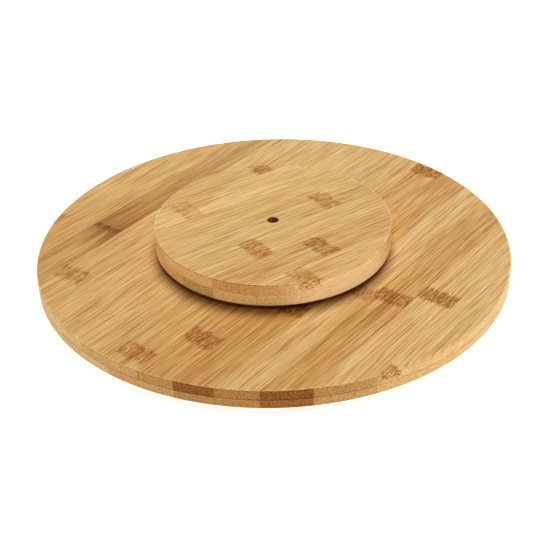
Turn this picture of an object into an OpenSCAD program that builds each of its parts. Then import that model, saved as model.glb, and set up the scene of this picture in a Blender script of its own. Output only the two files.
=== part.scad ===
// Bamboo lazy susan, lying turned over on its serving face, with the base uppermost.
//
// +Z is the spin axis and z = 0 is the serving face. From z = 0 upwards come the plate's
// serving ply and under ply, the gap with the ball bearing in it, then the base's inner ply
// and foot ply. Each ply is a row of bamboo staves, glued edge to edge and parallel to the
// grain of its board. A screw through the base's centre hole holds the two boards together.

/* [Plate] */
// Diameter of the turning plate
plate_d = 350; // [300:5:450]
// Thickness of the plate, both plies together
plate_t = 15; // [15:0.5:20]
// Rounding of the rim at the serving face
plate_serving_round = 2; // [1.25:0.25:3]
// Rounding of the rim at the underside
plate_under_round = 1.25; // [1.25:0.25:3]
// Direction of the plate's grain, in degrees from +X
plate_grain = 52; // [0:1:179]
// How far one glue joint of the plate lies from its centre
plate_joint = 3; // [-12:0.1:12]

/* [Base] */
// Diameter of the base
base_d = 175; // [165:5:240]
// Thickness of the base, both plies together
base_t = 17; // [17:0.5:22]
// Rounding of the rim at both faces of the base
base_round = 0.8; // [0.8:0.1:2]
// Direction of the base's grain, in degrees from +X
base_grain = 35; // [0:1:179]
// How far one glue joint of the base lies from its centre
base_joint = 12.7; // [8:0.1:14]
// Diameter of the centre hole, through which a driver reaches the pivot screw
hole_d = 8.5; // [8.4:0.1:9]

/* [Staves] */
// Width of one bamboo stave
stave_w = 25.5; // [22:0.1:30]

/* [Bearing] */
// Gap between the plate and the base
gap = 3; // [2.5:0.25:4]
// Diameter of a bearing ball
ball_d = 6; // [5:0.25:6]
// Number of bearing balls
ball_count = 24; // [12:1:30]
// Diameter of the circle that the balls run on
pitch_d = 143; // [130:1:144]
// Width of each pressed race ring
race_w = 10; // [9:0.5:12]

/* [Pivot] */
// Length of the pivot screw under its head
screw_length = 16; // [14:0.5:17]

/* [Hidden] */
$fn = 128;
rim_fn = 240; // facets round a board or a ring
turned_fn = 64; // facets round a small turned piece
fillet_fn = 48; // facets round a rounding, a ball or a pocket
cut = 0.01; // how far a cutting tool runs past the face that it opens
overrun = 1; // how far a large slab reaches past the board that it slices

plate_r = plate_d / 2;
base_r = base_d / 2;
hole_r = hole_d / 2;
hole_ease = 0.3; // chamfer at the centre hole's mouth

// Heights, from the serving face up
ply_line_z = plate_t / 2;
plate_top = plate_t;
base_bottom = plate_top + gap;
base_ply_z = base_bottom + base_t / 2;
base_top = base_bottom + base_t;

// Bearing
ball_r = ball_d / 2;
ball_z = plate_top + gap / 2;
pitch_r = pitch_d / 2;
ball_play = 0.05; // between a ball and the floor of its track
track_ease = 1.1; // track radius over ball radius, so that a ball touches at the floor only
track_r = ball_r * track_ease;
race_floor = 1; // steel left under the track
race_h = ball_r - gap / 2 + ball_play + race_floor;
cage_t = 1.8;
cage_w = 14;
pocket_play = 0.1; // between a ball and its pocket in the cage
pocket_r = ball_r + pocket_play;
cage_slot_w = 2; // lightening slot between two pockets
cage_slot_l = 8;

// Pivot: an M4 pan head screw in a brass insert, with a small washer and a flanged nylon bush
screw_r = 2;
thread_pitch = 0.7;
thread_depth = 0.4;
head_r = 3.9;
head_h = 3.1;
head_dome_r = 5.2;
recess_l = 4;
recess_w = 0.95;
recess_h = 1.9;
washer_r = 3.8;
washer_t = 0.5;
axial_play = 0.1; // between the washer and the bush
bush_play = 0.05; // between the screw and the bush
bush_bore_r = screw_r + bush_play;
bush_r = 3.2;
bush_flange_t = 1;
bush_flange_r = 5; // wider than the access hole, so it is put in before the plies are glued
head_cover = 0.4; // between the screw's head and the foot ply
head_seat_z = base_ply_z - head_cover - head_h;
bush_top_z = head_seat_z - washer_t - axial_play;
pocket_floor_z = bush_top_z - bush_flange_t;
screw_tip_z = head_seat_z - screw_length;

insert_r = 3.75;
insert_core_r = 3;
insert_l = 9;
insert_sink = 0.2; // how far the insert lies below the wood's face
insert_fit = 0.05;
insert_pitch = 1.5;
insert_slot_w = 1.2;
insert_slot_h = 1.5;
insert_top_z = plate_top - insert_sink;
insert_bottom_z = insert_top_z - insert_l;

// Glue joints: every stave_w from the given one, and none so near the rim as to leave a sliver
least_stave = 3;
joint_span = 30; // more staves than any board has on one side of its centre
function joints(r, first) =
    [for (k = [-joint_span:joint_span]) let (v = first + k * stave_w) if (abs(v) < r - least_stave) v];
function stave_edges(r, first) = concat([-r - overrun], joints(r, first), [r + overrun]);
plate_edges = stave_edges(plate_r, plate_joint);
base_edges = stave_edges(base_r, base_joint);
plate_count = len(plate_edges) - 1;
base_count = len(base_edges) - 1;

// Tone of each stave, from the first at the lowest side: 0 pale, 1 middle, 2 dark
PLATE_SERVING_TONES = [1, 0, 2, 1, 0, 1, 0, 1, 2, 0, 1, 0, 1, 0];
PLATE_UNDER_TONES = [1, 0, 2, 0, 2, 1, 0, 1, 1, 1, 0, 2, 1, 1];
BASE_INNER_TONES = [1, 0, 2, 0, 1, 0, 1];
BASE_FOOT_TONES = [0, 1, 1, 0, 0, 0, 1];
BAMBOO = ["#dcb06f", "#cf9a58", "#a9713a"];

function two_digits(i) = i < 10 ? str("0", i) : str(i);
function stave_name(ply, i) = str(ply, "_stave_", two_digits(i));
function stave_names(ply, count) = [for (i = [1:count]) stave_name(ply, i)];

NODES = concat(
    stave_names("plate_serving", plate_count),
    stave_names("plate_under", plate_count),
    stave_names("base_inner", base_count),
    stave_names("base_foot", base_count),
    ["plate_race", "base_race", "ball_cage", "bearing_balls",
     "pivot_screw", "pivot_washer", "pivot_bush", "threaded_insert"]);
node = "all";

// ---- Boards -------------------------------------------------------------------------------

// Half section of a board with a rounded rim, from its low face at y = 0
module board_section(r, h, low_round, high_round) {
    translate([0, low_round]) square([r, h - low_round - high_round]);
    square([r - low_round, low_round + cut]);
    translate([r - low_round, low_round]) circle(low_round, $fn = fillet_fn);
    translate([0, h - high_round - cut]) square([r - high_round, high_round + cut]);
    translate([r - high_round, h - high_round]) circle(high_round, $fn = fillet_fn);
}

module plate_board() {
    rotate_extrude($fn = rim_fn)
        board_section(plate_r, plate_t, plate_serving_round, plate_under_round);
}

module base_board() {
    translate([0, 0, base_bottom])
        rotate_extrude($fn = rim_fn) board_section(base_r, base_t, base_round, base_round);
}

// The slice of a board between two glue joints and two heights
module stave_slab(r, grain, edges, i, low, high) {
    rotate([0, 0, grain])
        translate([-r - overrun, edges[i - 1], low])
            cube([2 * (r + overrun), edges[i] - edges[i - 1], high - low]);
}

module tone(list, i) color(BAMBOO[list[(i - 1) % len(list)]]) children();

module hole(r, low, high) translate([0, 0, low]) cylinder(r = r, h = high - low);

// Annular seat for a race ring, sunk into the face at height face, towards side (-1 down, 1 up)
module race_seat(face, side) {
    depth = race_h + cut;
    translate([0, 0, side < 0 ? face - race_h : face - cut])
        rotate_extrude($fn = rim_fn)
            translate([pitch_r - race_w / 2, 0]) square([race_w, depth]);
}

module insert_hole() hole(insert_r + insert_fit, insert_bottom_z - insert_sink, plate_top + cut);

module plate_serving_stave(i) {
    tone(PLATE_SERVING_TONES, i) difference() {
        intersection() {
            plate_board();
            stave_slab(plate_r, plate_grain, plate_edges, i, -overrun, ply_line_z);
        }
        insert_hole();
    }
}

module plate_under_stave(i) {
    tone(PLATE_UNDER_TONES, i) difference() {
        intersection() {
            plate_board();
            stave_slab(plate_r, plate_grain, plate_edges, i, ply_line_z, plate_top + overrun);
        }
        race_seat(plate_top, -1);
        insert_hole();
    }
}

module base_inner_stave(i) {
    tone(BASE_INNER_TONES, i) difference() {
        intersection() {
            base_board();
            stave_slab(base_r, base_grain, base_edges, i, base_bottom - overrun, base_ply_z);
        }
        race_seat(base_bottom, 1);
        hole(bush_r, base_bottom - cut, pocket_floor_z + cut);
        hole(bush_flange_r, pocket_floor_z, base_ply_z + cut);
    }
}

module base_foot_stave(i) {
    tone(BASE_FOOT_TONES, i) difference() {
        intersection() {
            base_board();
            stave_slab(base_r, base_grain, base_edges, i, base_ply_z, base_top + overrun);
        }
        hole(hole_r, base_ply_z - cut, base_top + cut);
        translate([0, 0, base_top - hole_ease])
            cylinder(r1 = hole_r, r2 = hole_r + hole_ease + cut, h = hole_ease + cut);
    }
}

// ---- Ball bearing -------------------------------------------------------------------------

// Race ring with its track facing up, from its floor at z = 0
module race_ring() {
    rotate_extrude($fn = rim_fn) difference() {
        translate([pitch_r - race_w / 2, 0]) square([race_w, race_h]);
        translate([pitch_r, race_floor + track_r]) circle(track_r, $fn = turned_fn);
    }
}

module plate_race() {
    color("silver") translate([0, 0, plate_top - race_h]) race_ring();
}

module base_race() {
    color("silver") translate([0, 0, base_bottom + race_h]) mirror([0, 0, 1]) race_ring();
}

module around_pitch(turn) {
    for (k = [0:ball_count - 1])
        rotate([0, 0, (k + turn) * 360 / ball_count]) translate([pitch_r, 0, 0]) children();
}

module ball_cage() {
    low = ball_z - cage_t / 2;
    color("ivory") translate([0, 0, low]) difference() {
        rotate_extrude($fn = rim_fn)
            translate([pitch_r - cage_w / 2, 0]) square([cage_w, cage_t]);
        around_pitch(0)
            translate([0, 0, -cut]) cylinder(r = pocket_r, h = cage_t + 2 * cut, $fn = fillet_fn);
        around_pitch(0.5)
            translate([-cage_slot_l / 2, -cage_slot_w / 2, -cut])
                cube([cage_slot_l, cage_slot_w, cage_t + 2 * cut]);
    }
}

module bearing_balls() {
    color("gainsboro") around_pitch(0) translate([0, 0, ball_z]) sphere(ball_r, $fn = fillet_fn);
}

// ---- Pivot --------------------------------------------------------------------------------

// Half section of a threaded rod that ends at y = 0: ridges of the given pitch and depth
module ridged_section(r, length, pitch, depth) {
    turns = floor(length / pitch);
    flank = [for (k = [0:turns - 1]) each [[r - depth, k * pitch], [r, (k + 0.5) * pitch]]];
    polygon(concat([[0, 0]], flank, [[r - depth, turns * pitch], [r - depth, length], [0, length]]));
}

module pivot_screw() {
    threaded = insert_top_z - screw_tip_z;
    color("lightsteelblue") difference() {
        union() {
            translate([0, 0, screw_tip_z])
                rotate_extrude($fn = turned_fn)
                    ridged_section(screw_r, threaded, thread_pitch, thread_depth);
            hole(screw_r, insert_top_z - cut, head_seat_z + cut);
            translate([0, 0, head_seat_z]) rotate_extrude($fn = turned_fn) intersection() {
                square([head_r, head_h]);
                translate([0, head_h - head_dome_r]) circle(head_dome_r);
            }
        }
        for (turn = [0, 90])
            rotate([0, 0, turn])
                translate([-recess_l / 2, -recess_w / 2, head_seat_z + head_h - recess_h])
                    cube([recess_l, recess_w, recess_h + overrun]);
    }
}

module pivot_washer() {
    low = head_seat_z - washer_t;
    color("silver") difference() {
        hole(washer_r, low, head_seat_z);
        hole(screw_r + cut, low - cut, head_seat_z + cut);
    }
}

module pivot_bush() {
    color("white") difference() {
        union() {
            hole(bush_r, base_bottom, bush_top_z - cut);
            hole(bush_flange_r, pocket_floor_z, bush_top_z);
        }
        hole(bush_bore_r, base_bottom - cut, bush_top_z + cut);
    }
}

module threaded_insert() {
    knife = insert_r - insert_core_r;
    color("goldenrod") difference() {
        translate([0, 0, insert_bottom_z])
            rotate_extrude($fn = turned_fn) ridged_section(insert_r, insert_l, insert_pitch, knife);
        hole(screw_r + cut, insert_bottom_z - cut, insert_top_z + cut);
        translate([-insert_r, -insert_slot_w / 2, insert_top_z - insert_slot_h])
            cube([2 * insert_r, insert_slot_w, insert_slot_h + cut]);
    }
}

// ---- Nodes --------------------------------------------------------------------------------

function wanted(name) = node == "all" || node == name;

for (i = [1:plate_count]) {
    if (wanted(stave_name("plate_serving", i))) plate_serving_stave(i);
    if (wanted(stave_name("plate_under", i))) plate_under_stave(i);
}
for (i = [1:base_count]) {
    if (wanted(stave_name("base_inner", i))) base_inner_stave(i);
    if (wanted(stave_name("base_foot", i))) base_foot_stave(i);
}
if (wanted("plate_race")) plate_race();
if (wanted("base_race")) base_race();
if (wanted("ball_cage")) ball_cage();
if (wanted("bearing_balls")) bearing_balls();
if (wanted("pivot_screw")) pivot_screw();
if (wanted("pivot_washer")) pivot_washer();
if (wanted("pivot_bush")) pivot_bush();
if (wanted("threaded_insert")) threaded_insert();
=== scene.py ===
"""Bamboo lazy susan, lying turned over on a pale floor: its materials, light and camera.

Every wooden stave, race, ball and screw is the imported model's own solid. This script gives each
one its surface. Lengths inside the materials are in millimetres, everywhere else in metres.
"""
import math
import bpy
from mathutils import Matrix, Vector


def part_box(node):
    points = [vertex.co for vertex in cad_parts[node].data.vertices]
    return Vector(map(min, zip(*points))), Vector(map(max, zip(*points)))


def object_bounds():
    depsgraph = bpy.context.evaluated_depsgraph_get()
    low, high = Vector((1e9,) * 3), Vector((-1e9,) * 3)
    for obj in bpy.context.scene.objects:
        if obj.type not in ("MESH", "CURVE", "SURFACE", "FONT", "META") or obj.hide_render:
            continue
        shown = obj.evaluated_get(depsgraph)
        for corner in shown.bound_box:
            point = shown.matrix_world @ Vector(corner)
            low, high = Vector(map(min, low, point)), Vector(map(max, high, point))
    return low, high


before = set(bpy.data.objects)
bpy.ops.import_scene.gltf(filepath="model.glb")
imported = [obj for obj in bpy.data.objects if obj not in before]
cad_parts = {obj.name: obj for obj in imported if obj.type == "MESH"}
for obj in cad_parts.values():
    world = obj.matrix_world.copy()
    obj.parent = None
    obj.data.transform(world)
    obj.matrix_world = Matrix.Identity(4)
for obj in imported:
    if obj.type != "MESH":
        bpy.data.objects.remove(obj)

from types import SimpleNamespace

import bpy
from mathutils import Matrix, Vector

cad_low, cad_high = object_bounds()
MM = 1000.0  # millimetres in a metre


# ---- Small helpers for node trees ---------------------------------------------------------

def srgb(red, green, blue):
    """A colour as a paint chart gives it, 0 to 255, as the linear values that shaders use."""
    def linear(value):
        value /= 255
        return value / 12.92 if value <= 0.04045 else ((value + 0.055) / 1.055) ** 2.4
    return linear(red), linear(green), linear(blue), 1.0


class Tree:
    """Adds nodes to a node tree. Each method returns the new node's output socket."""

    def __init__(self, tree):
        self.tree = tree

    def node(self, kind, **settings):
        made = self.tree.nodes.new(kind)
        for name, value in settings.items():
            setattr(made, name, value)
        return made

    def feed(self, socket, value):
        if isinstance(value, bpy.types.NodeSocket):
            self.tree.links.new(value, socket)
        else:
            socket.default_value = value

    def math(self, operation, *values, clamp=False):
        made = self.node("ShaderNodeMath", operation=operation, use_clamp=clamp)
        for socket, value in zip(made.inputs, values):
            self.feed(socket, value)
        return made.outputs[0]

    def add(self, *values):
        total = values[0]
        for value in values[1:]:
            total = self.math("ADD", total, value)
        return total

    def times(self, *values):
        total = values[0]
        for value in values[1:]:
            total = self.math("MULTIPLY", total, value)
        return total

    def minus(self, a, b):
        return self.math("SUBTRACT", a, b)

    def step(self, value, low, high):
        """0 below low and 1 above high, smooth between them. low may be the larger."""
        made = self.node("ShaderNodeMapRange", interpolation_type="SMOOTHSTEP")
        swapped = not isinstance(low, bpy.types.NodeSocket) and low > high
        self.feed(made.inputs["Value"], value)
        self.feed(made.inputs["From Min"], high if swapped else low)
        self.feed(made.inputs["From Max"], low if swapped else high)
        self.feed(made.inputs["To Min"], 1.0 if swapped else 0.0)
        self.feed(made.inputs["To Max"], 0.0 if swapped else 1.0)
        return made.outputs["Result"]

    def vector(self, x, y, z):
        made = self.node("ShaderNodeCombineXYZ")
        for socket, value in zip(made.inputs, (x, y, z)):
            self.feed(socket, value)
        return made.outputs[0]

    def parts(self, vector):
        made = self.node("ShaderNodeSeparateXYZ")
        self.feed(made.inputs[0], vector)
        return made.outputs

    def length(self, vector):
        made = self.node("ShaderNodeVectorMath", operation="LENGTH")
        self.feed(made.inputs[0], vector)
        return made.outputs["Value"]

    def noise(self, vector, detail=2.0, roughness=0.5, scale=1.0):
        """Noise about 0, mostly within 0.3 of it, with features about 1 / scale in size."""
        made = self.node("ShaderNodeTexNoise", noise_dimensions="3D")
        self.feed(made.inputs["Vector"], vector)
        made.inputs["Scale"].default_value = scale
        made.inputs["Detail"].default_value = detail
        made.inputs["Roughness"].default_value = roughness
        return self.minus(made.outputs[0], 0.5)

    def cells(self, vector, jitter=1.0):
        """Distance to the nearest of a scatter of points, one in each unit cell."""
        made = self.node("ShaderNodeTexVoronoi", voronoi_dimensions="3D", feature="F1")
        self.feed(made.inputs["Vector"], vector)
        made.inputs["Scale"].default_value = 1.0
        made.inputs["Randomness"].default_value = jitter
        return made.outputs["Distance"]

    def mix(self, share, a, b):
        made = self.node("ShaderNodeMix", data_type="RGBA", clamp_factor=True)
        self.feed(made.inputs[0], share)
        self.feed(made.inputs[6], a)
        self.feed(made.inputs[7], b)
        return made.outputs[2]

    def denser(self, color, density):
        """The colour with its pigment made density times as strong: darker, and warmer too."""
        made = self.node("ShaderNodeGamma")
        self.feed(made.inputs["Color"], color)
        self.feed(made.inputs["Gamma"], density)
        return made.outputs[0]

    def scaled(self, color, gain):
        """The colour made gain times as bright."""
        made = self.node("ShaderNodeVectorMath", operation="SCALE")
        self.feed(made.inputs[0], color)
        self.feed(made.inputs["Scale"], self.math("MAXIMUM", gain, 0.1))
        return made.outputs[0]


# ---- Bamboo -------------------------------------------------------------------------------

# Lengths here are in millimetres
BAMBOO_INPUTS = [
    ("Grain", "NodeSocketVector", None),  # the place along the grain, across it, and its height
    ("Facing", "NodeSocketVector", None),  # the surface's normal along the same axes
    ("Seed", "NodeSocketFloat", 0.0),
    ("Tone", "NodeSocketColor", None),
    ("End tone", "NodeSocketColor", None),
    ("Low edge", "NodeSocketFloat", 0.0),  # where the stave starts across the grain
    ("High edge", "NodeSocketFloat", 0.0),  # and where it ends
    ("Knuckle A", "NodeSocketFloat", 0.0),  # its place along the grain
    ("Knuckle A strength", "NodeSocketFloat", 0.0),
    ("Knuckle B", "NodeSocketFloat", 0.0),
    ("Knuckle B strength", "NodeSocketFloat", 0.0),
    ("Stain", "NodeSocketFloat", 0.0),  # how smoked the cane is
    ("Foot darkness", "NodeSocketFloat", 0.0),  # how much darker it is at its foot than its tip
    ("Glue line", "NodeSocketFloat", 0.0),  # its height
    ("Glue strength", "NodeSocketFloat", 1.0),
    ("Edge shade", "NodeSocketFloat", 0.0),  # how dark the painted shade is at the rim's corner with each face
    ("Rim gain", "NodeSocketFloat", 0.0),  # how much brighter the rim is along the grain
    ("Rim paleness", "NodeSocketFloat", 0.0),  # and how much paler
    ("Board radius", "NodeSocketFloat", 175.0),
    ("Covered radius", "NodeSocketFloat", 0.0),  # of the other board, where it lies on this one, which sets the painted shade under it
]
BAMBOO_OUTPUTS = [
    ("Color", "NodeSocketColor"),
    ("Roughness", "NodeSocketFloat"),
    ("Height", "NodeSocketFloat"),
]


def new_group(name, inputs, outputs):
    """An empty node group with those sockets: the group, its tree, what it is given, its result."""
    group = bpy.data.node_groups.new(name, "ShaderNodeTree")
    for socket, kind, value in inputs:
        made = group.interface.new_socket(socket, in_out="INPUT", socket_type=kind)
        if value is not None:
            made.default_value = value
    for socket, kind in outputs:
        group.interface.new_socket(socket, in_out="OUTPUT", socket_type=kind)
    t = Tree(group)
    return group, t, t.node("NodeGroupInput").outputs, t.node("NodeGroupOutput").inputs


def read_place(t, given):
    """Where on the board the shaded point is, and which way the surface faces there."""
    along, across, height = t.parts(given["Grain"])
    facing_along, _, facing_up = t.parts(given["Facing"])
    tilt = t.math("ABSOLUTE", facing_up)
    from_axis = t.length(t.vector(along, across, 0.0))
    return SimpleNamespace(
        along=along, across=across, height=height, seed=given["Seed"],
        tilt=tilt,
        upright=t.step(tilt, 0.75, 0.45),
        end=t.step(t.math("ABSOLUTE", facing_along), 0.25, 0.65),
        from_axis=from_axis,
        inset=t.minus(given["Board radius"], from_axis),
        glue_away=t.math("ABSOLUTE", t.minus(height, given["Glue line"])))


def knuckle_zones(t, given, place):
    """How far the point is into a knuckle, for both of the stave's knuckles together.

    close is the wood near one, band is inside it, solid is inside a strong one, rows is the two
    rows at its ends, and tail is the long fade past them.
    """
    def ragged_by(across_scale, reach):
        vector = t.vector(place.seed, t.times(place.across, across_scale), place.height)
        return t.times(t.noise(vector), reach)

    # Each bundle of fibres, about 2 mm wide, ends its knuckle at a place of its own
    bundle_end = ragged_by(0.55, 6.5)
    leaning = ragged_by(0.11, 10.0)
    fringe = ragged_by(1.2, 10.0)
    narrow = t.add(1.0, t.times(given["Stain"], 1.5))
    near = SimpleNamespace(close=0.0, band=0.0, solid=0.0, rows=0.0, tail=0.0)
    for letter in "AB":
        strength = given[f"Knuckle {letter} strength"]
        offset = t.add(t.minus(place.along, given[f"Knuckle {letter}"]), bundle_end, leaning)
        away = t.times(t.math("ABSOLUTE", offset), narrow)
        inside = t.step(t.add(away, fringe), 9.5, 4.5)
        two_rows = t.times(t.step(away, 8.0, 6.2), t.step(away, 3.0, 5.2))
        near.close = t.add(near.close, t.times(strength, t.step(away, 26.0, 2.0)))
        near.band = t.add(near.band, t.times(strength, inside))
        near.solid = t.add(near.solid, t.times(strength, strength, inside))
        near.rows = t.add(near.rows, t.times(strength, two_rows))
        near.tail = t.add(near.tail, t.times(strength, t.step(away, 30.0, 6.0)))
    near.bundle_end = bundle_end
    return near


def grain(t, place, close):
    """Streaks of every width, along fibres that bend a little beside a knuckle."""
    along, across, seed = place.along, place.across, place.seed
    wander = t.times(t.noise(t.vector(t.times(along, 0.006), t.times(across, 0.02), seed)), 5.0)
    swirl = t.times(
        close, t.noise(t.vector(t.times(along, 0.06), t.times(across, 0.10), seed)), 3.5)
    side = t.add(across, wander, swirl)

    def fibres(length, width, shift):
        """Noise in streaks of about that length and width, in millimetres."""
        vector = t.vector(
            t.add(t.times(along, 1 / length), seed),
            t.add(t.times(side, 1 / width), shift),
            t.add(t.times(place.height, 1 / width), seed))
        return t.noise(vector, detail=1.0)

    return SimpleNamespace(
        side=side,
        broad=fibres(240, 13, 3.1),
        coarse=fibres(120, 3.4, 11.7),
        middle=fibres(60, 1.5, 23.9),
        fine=fibres(40, 0.80, 37.3),
        hair=fibres(16, 0.36, 51.1),
        dark_lines=t.step(fibres(60, 0.75, 67.7), 0.07, 0.19),
        long_lines=t.step(fibres(240, 1.8, 143.3), 0.13, 0.23),
        pale_lines=t.step(fibres(60, 1.2, 83.3), 0.12, 0.26),
        dashes=t.step(fibres(9, 0.55, 91.9), 0.14, 0.26),
        red_lines=t.step(fibres(70, 0.60, 113.7), 0.15, 0.24))


def streaks(t, wood):
    """All the grain's streaks together, dark ones above 0."""
    return t.add(
        t.times(wood.broad, 0.26), t.times(wood.coarse, 0.28), t.times(wood.middle, 0.52),
        t.times(wood.fine, 1.75), t.times(wood.hair, 1.30),
        t.times(wood.dark_lines, 0.58), t.times(wood.long_lines, 0.30),
        t.times(wood.dashes, 0.12), t.times(wood.pale_lines, -0.10))


def knuckle_marks(t, place, wood, near):
    """A comb of short fibre ends, darkest in a row at each side: the marks, and the fibre ends."""
    deep = t.add(place.seed, t.times(place.height, 0.6))

    def scatter(along_scale, shift):
        return t.cells(
            t.vector(t.times(place.along, along_scale), t.times(wood.side, 1.05), shift))

    comb_place = t.vector(t.times(place.along, 0.05), t.times(wood.side, 1.20), deep)
    comb = t.step(t.noise(comb_place, 1.0), -0.04, 0.07)
    cut_ends = t.step(scatter(0.15, deep), 0.48, 0.24)
    pale_ends = t.step(scatter(0.18, t.add(deep, 7.0)), 0.40, 0.18)
    in_rows = t.add(t.times(comb, 0.20), t.times(cut_ends, 0.50))
    in_band = t.add(t.times(comb, 0.36), t.times(cut_ends, 0.84), t.times(pale_ends, -0.50))
    marks = t.add(
        t.times(near.rows, in_rows), t.times(near.solid, 0.22), t.times(near.band, in_band))
    # On the rim a knuckle fades with depth below the board's face
    depth = t.times(place.upright, t.step(place.glue_away, 5.0, 0.5))
    return t.times(marks, t.minus(1.0, depth)), cut_ends


def smoked_wood(t, given, place, wood, bundle_end):
    """A smoked stave is darkest beside its knuckle, and fades further from it."""
    offset = t.add(t.minus(place.along, given["Knuckle A"]), bundle_end)
    ragged = t.add(offset, t.times(wood.coarse, 70.0), t.times(wood.middle, 40.0))
    footward = t.times(t.step(ragged, -24.0, 1.0), t.step(offset, 4.0, 0.0))
    long_fade = t.times(t.step(ragged, 210.0, 0.0), 0.62)
    short_fade = t.times(t.step(ragged, 26.0, 2.0), 0.40)
    tipward = t.times(t.step(offset, 0.0, 4.0), t.add(long_fade, short_fade))
    low_side = t.step(t.minus(place.across, given["Low edge"]), 12.0, 1.0)
    uneven = t.add(
        0.9, t.times(wood.coarse, 1.2), t.times(wood.middle, 1.1), t.times(wood.broad, 0.6),
        t.times(low_side, 0.50))
    return t.times(given["Stain"], t.add(footward, t.times(tipward, 0.95), 0.02), uneven)


def seams(t, given, place):
    """The joints between staves, which show in some stretches and not in others."""
    nearest = t.math(
        "MINIMUM",
        t.math("ABSOLUTE", t.minus(place.across, given["Low edge"])),
        t.math("ABSOLUTE", t.minus(place.across, given["High edge"])))
    shows = t.step(t.noise(t.vector(t.times(place.along, 0.02), place.seed, 5.0)), -0.15, 0.12)
    return t.times(0.42, shows, t.step(nearest, 0.42, 0.05))


def end_grain(t, place):
    """Pores and grit, where the rim cuts across the grain."""
    along, across, height = place.along, place.across, place.height
    pores = t.step(
        t.cells(t.vector(t.times(along, 0.25), t.times(across, 0.95), t.times(height, 1.05))),
        0.50, 0.16)
    grit = t.noise(
        t.vector(t.times(along, 0.5), t.times(across, 1.3), t.times(height, 1.3)), 2.0, 0.6)
    return t.times(
        place.end, place.upright, t.add(t.times(pores, 0.34), t.times(grit, 1.5), -0.08))


def glue_line(t, given, place):
    """The line of glue between the two plies, uneven along the rim."""
    blotches = t.noise(t.vector(t.times(place.along, 0.03), t.times(place.across, 0.03), 9.0))
    return t.times(
        place.upright, given["Glue strength"], t.step(place.glue_away, 0.42, 0.10),
        t.add(0.35, t.times(t.step(blotches, -0.3, 0.1), 0.45)))


def rim_edges(t, given, place, wood):
    """The rim's rounded corner: the sanded edge, which is paler, and a line of painted shade below
    it.
    """
    corner = t.step(place.inset, 2.6, 1.6)
    tilted = t.times(t.step(place.tilt, 0.12, 0.35), t.step(place.tilt, 0.995, 0.94))
    sanded = t.times(tilted, corner, t.add(0.85, t.times(wood.fine, 1.4)))
    # Painted shade: a dark line where the rim turns into its rounded corner, strongest on the base
    painted_edge_shade = t.times(t.step(place.tilt, 0.01, 0.12), place.upright, corner, given["Edge shade"])
    return sanded, painted_edge_shade


def bamboo_group():
    """The node group that every stave shares: fibres, knuckles, end grain, glue and edges."""
    group, t, given, result = new_group("bamboo", BAMBOO_INPUTS, BAMBOO_OUTPUTS)
    place = read_place(t, given)
    near = knuckle_zones(t, given, place)
    wood = grain(t, place, near.close)
    knuckle, cut_ends = knuckle_marks(t, place, wood, near)
    smoke = smoked_wood(t, given, place, wood, near.bundle_end)
    seam = seams(t, given, place)
    end_texture = end_grain(t, place)
    glue = glue_line(t, given, place)
    sanded, painted_edge_shade = rim_edges(t, given, place, wood)
    flat = t.minus(1.0, place.upright)
    side_grain = t.times(place.upright, t.minus(1.0, place.end))

    # The grain is darker beside a knuckle, and shows less on the rim and least on end grain
    halo = t.times(near.tail, t.add(0.03, t.times(wood.middle, 0.9), t.times(wood.coarse, 0.5)))
    on_face = t.minus(1.0, t.times(place.upright, t.add(0.50, t.times(place.end, 0.30))))
    lines = t.math("MAXIMUM", t.times(on_face, t.add(streaks(t, wood), halo)), -0.24)
    # A cane is darker towards its foot
    footward = t.times(
        given["Foot darkness"], t.minus(t.step(place.along, 120.0, -120.0), 0.5), 2.4)
    # Painted shade: the face under the other board is darkened out to its edge, so that the gap
    # between the boards looks dark
    painted_gap_shade = t.step(t.minus(place.from_axis, given["Covered radius"]), 0.2, -2.2)
    # Painted shade: the wall of the bore is darkened
    painted_bore_shade = t.times(place.upright, t.step(place.from_axis, 4.9, 4.5))

    # The pigment of the marks has a limit, so that the darkest stay brown
    stained = t.add(
        1.0, footward, t.times(lines, 0.75), t.times(wood.red_lines, on_face, 0.38),
        t.times(knuckle, 1.25), t.times(smoke, 0.50))
    density = t.add(
        t.math("MINIMUM", stained, 2.1), seam, t.times(painted_gap_shade, flat, 1.8),
        t.times(end_texture, 0.6), glue, t.times(sanded, -0.24), t.times(painted_edge_shade, 0.80),
        t.times(painted_bore_shade, 0.8), t.times(given["Rim paleness"], side_grain, -1.0))
    gain = t.add(
        1.0, t.times(lines, -0.34), t.times(knuckle, -0.31), t.times(smoke, -0.21),
        t.times(end_texture, -0.5), t.times(painted_edge_shade, -0.15),
        t.times(given["Rim gain"], side_grain))
    ground = t.mix(t.times(place.end, place.upright), given["Tone"], given["End tone"])
    color = t.scaled(t.denser(ground, t.math("MAXIMUM", density, 0.70)), gain)
    t.feed(result["Color"], color)

    t.feed(result["Roughness"], t.add(
        0.46, t.times(wood.middle, 0.16), t.times(wood.dashes, 0.10), t.times(place.end, 0.14),
        t.times(near.band, 0.08), t.times(sanded, -0.05)))
    t.feed(result["Height"], t.add(
        t.times(wood.middle, -0.030), t.times(wood.fine, -0.030), t.times(wood.hair, -0.016),
        t.times(wood.dark_lines, -0.020), t.times(near.band, cut_ends, -0.060),
        t.times(seam, -0.10), t.times(glue, -0.07), t.times(end_texture, -0.08)))
    return group


STRAW = (226, 181, 115)  # the sanded face of a light cane, which every other tone comes from

# How dense and how bright each tone of cane is beside straw, on its face
FACES = {
    "pale": (0.95, 1.02),
    "straw": (1.00, 1.00),
    "honey": (1.00, 0.96),
    "golden": (1.10, 0.94),
    "amber": (1.25, 0.91),
    "smoked": (1.10, 0.87),
}
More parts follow.
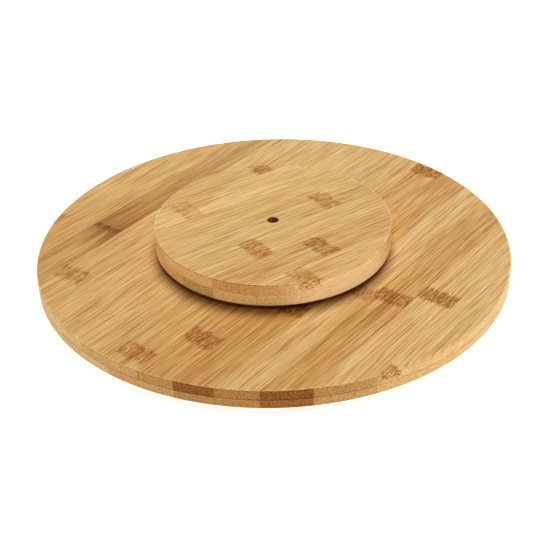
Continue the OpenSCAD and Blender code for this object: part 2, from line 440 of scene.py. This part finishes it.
# The same where the cane is cut across, which is darker
ENDS = {
    "straw": (0.85, 0.74),
    "honey": (0.95, 0.73),
    "golden": (1.10, 0.67),
    "amber": (1.30, 0.58),
    "brown": (1.45, 0.52),
    "light block": (1.90, 0.50),
    "block": (2.20, 0.42),
    "foot straw": (1.05, 0.90),
    "foot honey": (1.25, 0.84),
    "foot golden": (1.30, 0.82),
}
# What all the staves of a board share, as inputs of the bamboo group
BOARD_LOOKS = {
    "plate": {
        "Foot darkness": 0.06,
        "Glue strength": 1.0,
        "Edge shade": 0.15,
        "Rim gain": -0.09,
        "Rim paleness": 0.08,
    },
    "base": {
        "Foot darkness": 0.0,
        "Glue strength": 0.15,
        "Edge shade": 1.0,
        "Rim gain": 0.10,
        "Rim paleness": 0.40,
    },
}


def cane(density, gain):
    """Straw made that much denser in colour, and that much brighter."""
    red, green, blue, alpha = srgb(*STRAW)
    return gain * red ** density, gain * green ** density, gain * blue ** density, alpha


# Each ply's staves from the lowest side up: face tone, end tone, knuckles as (place along the
# grain in mm, strength), and how stained it is
PLIES = {
    "plate_under": [
        ("straw", "straw", [(-82, 0.95)], 0.0),
        ("straw", "amber", [(8, 1.3)], 0.0),
        ("amber", "block", [(-10, 0.95)], 0.0),
        ("honey", "brown", [(-17, 0.8)], 0.0),
        ("amber", "block", [(-60, 0.9)], 0.0),
        ("amber", "amber", [(-123, 0.95), (163, 1.0)], 0.0),
        ("golden", "golden", [(-160, 0.85)], 0.0),
        ("honey", "golden", [(24, 0.8)], 0.0),
        ("honey", "honey", [(-30, 0.7)], 0.0),
        ("honey", "straw", [(52, 0.5)], 0.0),
        ("honey", "honey", [(-118, 0.75)], 0.0),
        ("smoked", "golden", [(-56, 1.0)], 1.0),
        ("golden", "honey", [], 0.0),
        ("honey", "straw", [(-68, 0.9)], 0.0),
    ],
    "plate_serving": [
        ("honey", "straw", [], 0.0),
        ("straw", "golden", [(-64, 0.7)], 0.0),
        ("amber", "light block", [(88, 0.9)], 0.2),
        ("golden", "amber", [(-20, 0.8)], 0.0),
        ("straw", "amber", [(-132, 0.7), (146, 0.6)], 0.0),
        ("honey", "golden", [(70, 0.9)], 0.0),
        ("straw", "golden", [(-34, 0.7)], 0.0),
        ("golden", "straw", [(-150, 0.9), (128, 0.8)], 0.0),
        ("smoked", "honey", [(-92, 1.0)], 0.4),
        ("straw", "honey", [(40, 0.8)], 0.0),
        ("honey", "honey", [(-104, 0.7)], 0.0),
        ("straw", "straw", [(12, 0.9)], 0.0),
        ("golden", "honey", [(-48, 0.8)], 0.0),
        ("straw", "straw", [], 0.0),
    ],
    "base_inner": [
        ("straw", "foot straw", [], 0.0),
        ("honey", "foot straw", [(40, 0.6)], 0.0),
        ("amber", "golden", [(-20, 0.8)], 0.0),
        ("golden", "foot honey", [(54, 0.7)], 0.0),
        ("honey", "foot straw", [(-58, 0.8)], 0.0),
        ("straw", "honey", [(22, 0.6)], 0.0),
        ("golden", "honey", [], 0.0),
    ],
    "base_foot": [
        ("straw", "foot honey", [(-28, 0.75)], 0.0),
        ("golden", "foot golden", [(5, 0.8)], 0.0),
        ("straw", "foot straw", [(-33, 0.95)], 0.0),
        ("honey", "foot straw", [(48, 0.7)], 0.0),
        ("straw", "foot honey", [], 0.0),
        ("pale", "straw", [(-43, 0.55)], 0.0),
        ("honey", "golden", [(40, 1.0)], 0.0),
    ],
}
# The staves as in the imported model
STAVE_W = 25.5  # mm
GRAIN = {"plate": math.radians(52), "base": math.radians(35)}  # from the X axis
FIRST_JOINT = {"plate": -150.0, "base": -63.8}  # mm across the grain from the spin axis
# The staves just above each board's glue line, which give its height
ABOVE_GLUE = {"plate": "plate_under_stave_01", "base": "base_foot_stave_01"}
SEED_STEP = 17.0  # between the staves of a ply
PLY_SEED_STEP = 131.0


def board_radius(prefix):
    """The radius of a round board, from its staves' boxes, in metres."""
    high = max(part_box(n)[1].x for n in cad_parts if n.startswith(prefix))
    low = min(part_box(n)[0].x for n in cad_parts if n.startswith(prefix))
    return (high - low) / 2


BOARD_R = {"plate": board_radius("plate_under"), "base": board_radius("base_foot")}


def along_grain(t, kind, source, board, scale=(1, 1, 1)):
    """A vector turned so that its X runs along the board's grain."""
    turned = t.node("ShaderNodeMapping", vector_type=kind)
    t.feed(turned.inputs["Vector"], source)
    turned.inputs["Rotation"].default_value = (0, 0, -GRAIN[board])
    turned.inputs["Scale"].default_value = scale
    return turned.outputs[0]


def stave_values(board, ply, number):
    """The bamboo group's inputs for one stave."""
    face, end, knuckles, stain = PLIES[ply][number - 1]
    high_edge = FIRST_JOINT[board] + (number - 1) * STAVE_W
    values = {
        "Seed": SEED_STEP * number + PLY_SEED_STEP * list(PLIES).index(ply),
        "Tone": cane(*FACES[face]),
        "End tone": cane(*ENDS[end]),
        "Low edge": high_edge - STAVE_W,
        "High edge": high_edge,
        "Stain": stain,
        "Glue line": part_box(ABOVE_GLUE[board])[0].z * MM,
        "Board radius": BOARD_R[board] * MM,
        "Covered radius": BOARD_R["base"] * MM if ply == "plate_under" else 0.0,
    }
    for letter, (where, strength) in zip("AB", knuckles):
        values[f"Knuckle {letter}"] = where
        values[f"Knuckle {letter} strength"] = strength
    return {**values, **BOARD_LOOKS[board]}


def bamboo(board, ply, number, group):
    """The material of one stave."""
    material = bpy.data.materials.new(f"bamboo_{ply}_{number:02d}")
    material.use_nodes = True
    t = Tree(material.node_tree)
    shader = material.node_tree.nodes["Principled BSDF"]
    place = t.node("ShaderNodeTexCoord").outputs
    wood = t.node("ShaderNodeGroup", node_tree=group)
    t.feed(wood.inputs["Grain"], along_grain(t, "POINT", place["Object"], board, (MM, MM, MM)))
    t.feed(wood.inputs["Facing"], along_grain(t, "NORMAL", place["Normal"], board))
    for name, value in stave_values(board, ply, number).items():
        wood.inputs[name].default_value = value

    bump = t.node("ShaderNodeBump")
    bump.inputs["Strength"].default_value = 1.0
    bump.inputs["Distance"].default_value = 1 / MM
    t.feed(bump.inputs["Height"], wood.outputs["Height"])
    t.feed(shader.inputs["Base Color"], wood.outputs["Color"])
    t.feed(shader.inputs["Roughness"], wood.outputs["Roughness"])
    t.feed(shader.inputs["Normal"], bump.outputs[0])
    shader.inputs["Specular IOR Level"].default_value = 0.14  # a thin matt finish
    return material


def wear(node, material):
    """Gives a CAD node one material all over."""
    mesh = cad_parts[node].data
    mesh.materials.clear()
    mesh.materials.append(material)


def dress_boards():
    """Gives every stave its own material."""
    group = bamboo_group()
    for ply, staves in PLIES.items():
        board = ply.split("_")[0]
        for number in range(1, len(staves) + 1):
            wear(f"{ply}_stave_{number:02d}", bamboo(board, ply, number, group))


# ---- Metal and plastic --------------------------------------------------------------------

def plain(name, color, metallic, rough, grain_scale, grain_share, bump_mm):
    """A metal or plastic with fine uneven colour, gloss and relief."""
    material = bpy.data.materials.new(name)
    material.use_nodes = True
    t = Tree(material.node_tree)
    shader = material.node_tree.nodes["Principled BSDF"]
    place = t.node("ShaderNodeTexCoord")
    mottle = t.noise(place.outputs["Object"], 4.0, 0.6, grain_scale)
    scratch = t.noise(place.outputs["Object"], 2.0, 0.7, grain_scale * 9)
    t.feed(shader.inputs["Base Color"],
           t.denser(srgb(*color), t.add(1.0, t.times(mottle, grain_share))))
    t.feed(shader.inputs["Roughness"],
           t.add(rough, t.times(mottle, 0.25), t.times(scratch, 0.12)))
    shader.inputs["Metallic"].default_value = metallic
    bump = t.node("ShaderNodeBump")
    bump.inputs["Distance"].default_value = bump_mm / MM
    t.feed(bump.inputs["Height"], scratch)
    t.feed(shader.inputs["Normal"], bump.outputs[0])
    return material


def dress_works():
    """Gives the bearing and the pivot their metals and plastics."""
    steel = plain("pressed_steel", (186, 188, 190), 1.0, 0.38, 220, 0.8, 0.02)
    ball = plain("ball_steel", (214, 216, 218), 1.0, 0.14, 300, 0.2, 0.002)
    zinc = plain("zinc_steel", (198, 202, 206), 1.0, 0.30, 400, 0.7, 0.01)
    cage = plain("cage_plastic", (224, 219, 205), 0.0, 0.45, 120, 0.5, 0.02)
    nylon = plain("nylon", (236, 233, 222), 0.0, 0.42, 160, 0.4, 0.02)
    brass = plain("brass", (206, 164, 92), 1.0, 0.30, 300, 0.6, 0.01)
    for node, material in {
        "plate_race": steel, "base_race": steel, "bearing_balls": ball, "ball_cage": cage,
        "pivot_screw": zinc, "pivot_washer": zinc, "pivot_bush": nylon,
        "threaded_insert": brass,
    }.items():
        wear(node, material)


# ---- Floor, light and camera --------------------------------------------------------------

FLOOR_HALF = 4.0  # half its side
FLOOR_GAP = 0.0002  # keeps the floor clear of the face that lies on it
FLOOR_GREY = 0.70  # its own colour
FLOOR_GLOW = 0.78  # light of its own, which keeps it white with no visible shadow
AMBIENT = 0.15  # the world's strength all round
HORIZON = 10.5  # how much stronger it is at the horizon
HORIZON_RISE = 0.11  # how high that band reaches, as the sine of its elevation
LAMP_DISTANCE = 5.0


def make_floor():
    """A plain white floor, just under the face that lies on it."""
    mesh = bpy.data.meshes.new("floor")
    corners = [(x * FLOOR_HALF, y * FLOOR_HALF, 0) for x, y in ((-1, -1), (1, -1), (1, 1), (-1, 1))]
    mesh.from_pydata(corners, [], [(0, 1, 2, 3)])
    floor = bpy.data.objects.new("floor", mesh)
    bpy.context.collection.objects.link(floor)
    material = bpy.data.materials.new("floor")
    material.use_nodes = True
    shader = material.node_tree.nodes["Principled BSDF"]
    shader.inputs["Base Color"].default_value = (FLOOR_GREY, FLOOR_GREY, FLOOR_GREY, 1)
    shader.inputs["Emission Color"].default_value = (1.0, 1.0, 1.0, 1)
    shader.inputs["Emission Strength"].default_value = FLOOR_GLOW
    shader.inputs["Roughness"].default_value = 0.9
    shader.inputs["Specular IOR Level"].default_value = 0.1
    mesh.materials.append(material)
    floor.location.z = cad_low.z - FLOOR_GAP


def bearing(azimuth, elevation):
    """The direction at that azimuth from the +X axis and that height, both in degrees."""
    a, e = math.radians(azimuth), math.radians(elevation)
    return Vector((math.cos(a) * math.cos(e), math.sin(a) * math.cos(e), math.sin(e)))


def soft_light(name, azimuth, elevation, size, watts):
    """A round lamp aimed at the object."""
    lamp = bpy.data.lights.new(name, "AREA")
    lamp.shape = "DISK"
    lamp.size = size
    lamp.energy = watts
    holder = bpy.data.objects.new(name, lamp)
    bpy.context.collection.objects.link(holder)
    holder.location = LAMP_DISTANCE * bearing(azimuth, elevation)
    holder.rotation_euler = (-holder.location).to_track_quat("-Z", "Y").to_euler()


def make_world():
    """A dim even studio with a bright band along the horizon, which lights upright faces."""
    world = bpy.data.worlds.new("studio")
    bpy.context.scene.world = world
    world.use_nodes = True
    t = Tree(world.node_tree)
    sky = world.node_tree.nodes["Background"]
    direction = t.node("ShaderNodeTexCoord").outputs["Generated"]
    rise = t.math("ABSOLUTE", t.parts(direction)[2])
    band = t.step(rise, HORIZON_RISE, 0.01)
    t.feed(sky.inputs["Strength"], t.add(AMBIENT, t.times(band, HORIZON)))
    sky.inputs["Color"].default_value = (1.0, 1.0, 1.0, 1)


def make_light():
    """A wide lamp high up behind the object, a weak one low at its right, and the studio round it."""
    make_world()
    soft_light("key", azimuth=84, elevation=67, size=2.7, watts=216.0)
    soft_light("side", azimuth=-18, elevation=12, size=1.4, watts=8.0)
    scene = bpy.context.scene
    scene.view_settings.view_transform = "Standard"
    scene.view_settings.look = "None"


LENS = 74.1  # mm
SENSOR = 36  # mm wide
DISTANCE = 0.8544
ELEVATION = math.radians(33.1)  # above the floor
AIM = (0.0005, -0.0115)  # right of and above the spin axis, as the camera sees them
ROLL = math.radians(-1.53)  # how far the camera leans to one side


def make_camera():
    """Looks along +Y and down at the spin axis, from the photograph's viewing angle."""
    back = Vector((0, -math.cos(ELEVATION), math.sin(ELEVATION)))
    up = Vector((0, math.sin(ELEVATION), math.cos(ELEVATION)))
    right = Vector((1, 0, 0))
    data = bpy.data.cameras.new("camera")
    data.sensor_width = SENSOR
    data.lens = LENS
    camera = bpy.data.objects.new("camera", data)
    bpy.context.collection.objects.link(camera)
    across = right * math.cos(ROLL) + up * math.sin(ROLL)
    upward = up * math.cos(ROLL) - right * math.sin(ROLL)
    turn = Matrix((across, upward, back)).transposed().to_4x4()
    turn.translation = back * DISTANCE + right * AIM[0] + up * AIM[1]
    camera.matrix_world = turn
    bpy.context.scene.camera = camera


dress_boards()
dress_works()
make_floor()
make_light()
make_camera()
